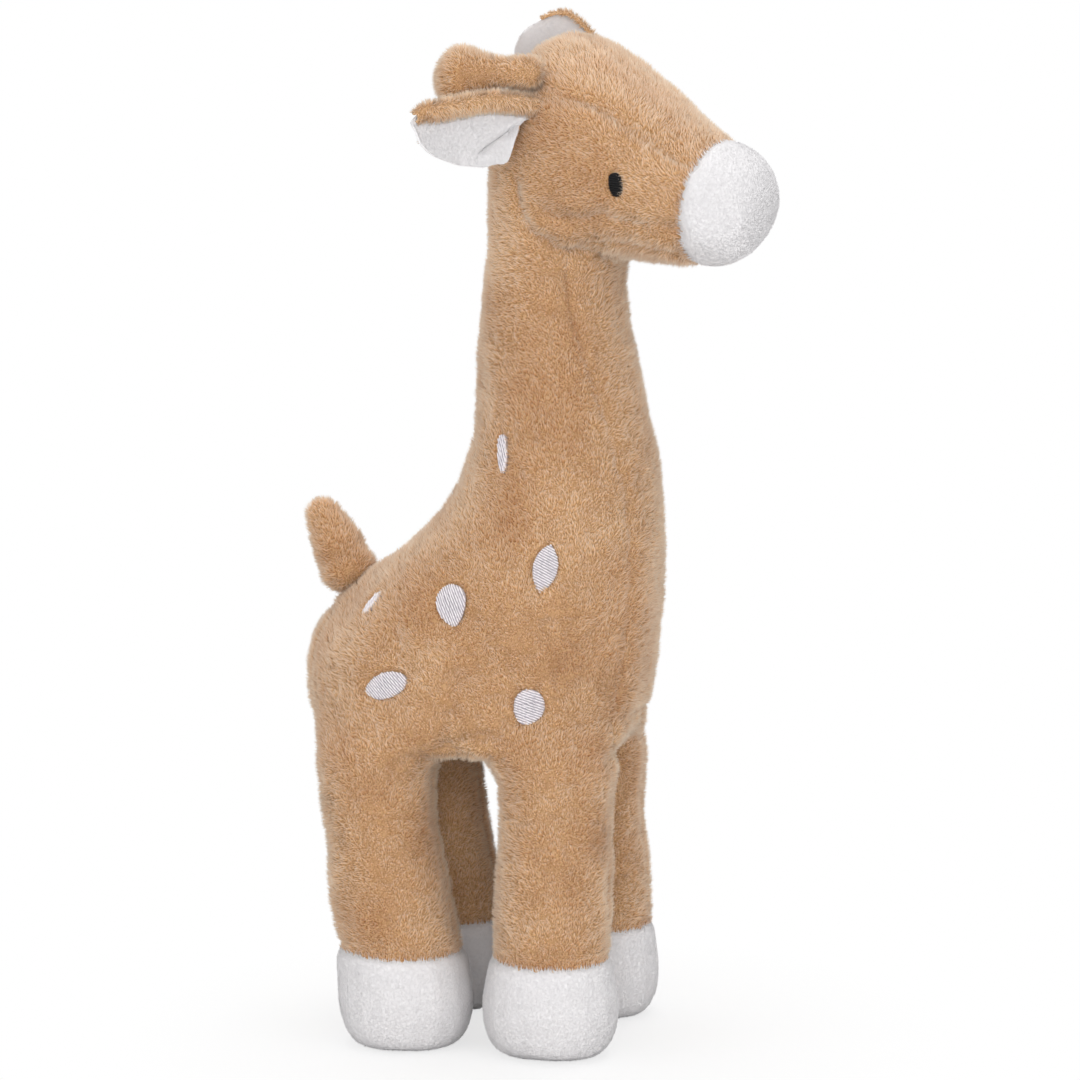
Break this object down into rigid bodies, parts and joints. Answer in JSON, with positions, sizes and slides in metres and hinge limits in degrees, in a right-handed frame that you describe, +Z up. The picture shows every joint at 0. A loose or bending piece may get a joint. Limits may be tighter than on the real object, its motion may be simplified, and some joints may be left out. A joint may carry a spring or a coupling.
{
  "type": "plush giraffe",
  "caption": "Standing plush giraffe: tan pile skin with white muzzle and feet, soft ears, short stuffed horns, an upright tail and embroidered oval spots.",
  "frame": {"origin": "on the floor, under the middle of the assembled bounding box", "axes": "+X towards the front of the toy, +Y to its left side, +Z up"},
  "size_m": [0.1838, 0.1362, 0.3822],
  "materials": {
    "tan_pile": "short soft tan pile",
    "white_pile": "short soft white pile",
    "black_thread": "black satin stitch",
    "white_thread": "white satin stitch",
    "stuffing_fibre": "loose polyester fibre"
  },
  "bodies": {
    "toy": {"belly_gusset": "tan_pile", "chest_gusset": "tan_pile", "eye_left": "black_thread", "eye_right": "black_thread", "foot_cap_front_left": "white_pile", "foot_cap_front_right": "white_pile", "foot_cap_rear_left": "white_pile", "foot_cap_rear_right": "white_pile", "head_gusset": "tan_pile", "head_stuffing": "stuffing_fibre", "inner_leg_front_left": "tan_pile", "inner_leg_front_right": "tan_pile", "inner_leg_rear_left": "tan_pile", "inner_leg_rear_right": "tan_pile", "leg_stuffing_front_left": "stuffing_fibre", "leg_stuffing_front_right": "stuffing_fibre", "leg_stuffing_rear_left": "stuffing_fibre", "leg_stuffing_rear_right": "stuffing_fibre", "muzzle_cap": "white_pile", "neck_stuffing": "stuffing_fibre", "side_panel_left": "tan_pile", "side_panel_right": "tan_pile", "sole_front_left": "white_pile", "sole_front_right": "white_pile", "sole_rear_left": "white_pile", "sole_rear_right": "white_pile", "spot_left_1": "white_thread", "spot_left_2": "white_thread", "spot_left_3": "white_thread", "spot_left_4": "white_thread", "spot_left_5": "white_thread", "spot_left_6": "white_thread", "spot_right_1": "white_thread", "spot_right_2": "white_thread", "spot_right_3": "white_thread", "spot_right_4": "white_thread", "spot_right_5": "white_thread", "spot_right_6": "white_thread", "torso_stuffing": "stuffing_fibre"},
    "right_ear": {"ear_outer_right": "tan_pile", "ear_inner_right": "white_pile"},
    "left_ear": {"ear_outer_left": "tan_pile", "ear_inner_left": "white_pile"},
    "right_horn": {"horn_right_fabric": "tan_pile", "horn_right_stuffing": "stuffing_fibre"},
    "left_horn": {"horn_left_fabric": "tan_pile", "horn_left_stuffing": "stuffing_fibre"},
    "tail": {"tail_fabric": "tan_pile", "tail_stuffing": "stuffing_fibre"}
  },
  "joints": [
    {"name": "right_ear_bend", "type": "hinge", "parent": "toy", "child": "right_ear", "pos_m": [0.00181, -0.03517, 0.33571], "axis": [0.0217, 0.021, 0.9995], "range_deg": [-3, 20], "stiffness_Nm_per_rad": 0.02},
    {"name": "left_ear_bend", "type": "hinge", "parent": "toy", "child": "left_ear", "pos_m": [0.01265, 0.0356, 0.34763], "axis": [0.7056, 0.2332, 0.6691], "range_deg": [-10, 12], "stiffness_Nm_per_rad": 0.02},
    {"name": "right_horn_bend", "type": "hinge", "parent": "toy", "child": "right_horn", "pos_m": [0.00007, -0.03184, 0.356], "axis": [-0.1367, 0.6667, 0.7326], "range_deg": [-4, 12], "stiffness_Nm_per_rad": 0.02},
    {"name": "left_horn_bend", "type": "hinge", "parent": "toy", "child": "left_horn", "pos_m": [0.03117, 0.03942, 0.34756], "axis": [0.7949, 0.1999, -0.5728], "range_deg": [-4, 12], "stiffness_Nm_per_rad": 0.02},
    {"name": "tail_bend", "type": "hinge", "parent": "toy", "child": "tail", "pos_m": [-0.07596, 0.0028, 0.17567], "axis": [0, 1, 0], "range_deg": [-20, 25], "stiffness_Nm_per_rad": 0.02}
  ]
}
